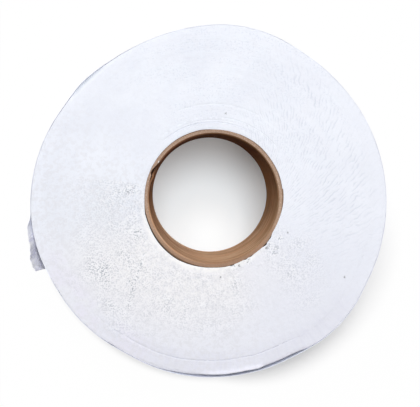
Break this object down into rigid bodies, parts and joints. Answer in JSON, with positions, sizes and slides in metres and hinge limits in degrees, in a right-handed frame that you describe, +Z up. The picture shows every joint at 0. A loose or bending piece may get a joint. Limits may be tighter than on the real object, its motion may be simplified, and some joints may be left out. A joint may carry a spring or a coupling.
{
  "type": "toilet paper roll",
  "caption": "Jumbo roll of plain white toilet tissue on a brown coreboard tube, lying on its end, with its loose tail standing a little off the side.",
  "frame": {"origin": "on the core tube's axis, at the end of the roll that it lies on", "axes": "+Z runs up the core tube's axis; +X points across the roll, away from the loose tail; +Y is square to both"},
  "size_m": [0.2334, 0.2295, 0.09],
  "materials": {
    "tissue_paper": "soft matt creped tissue, cool white",
    "core_board": "matt brown coreboard with faint fibres and a helical ply joint"
  },
  "bodies": {
    "root": {"wound_tissue": "tissue_paper", "core_tube": "core_board"}
  },
  "joints": []
}
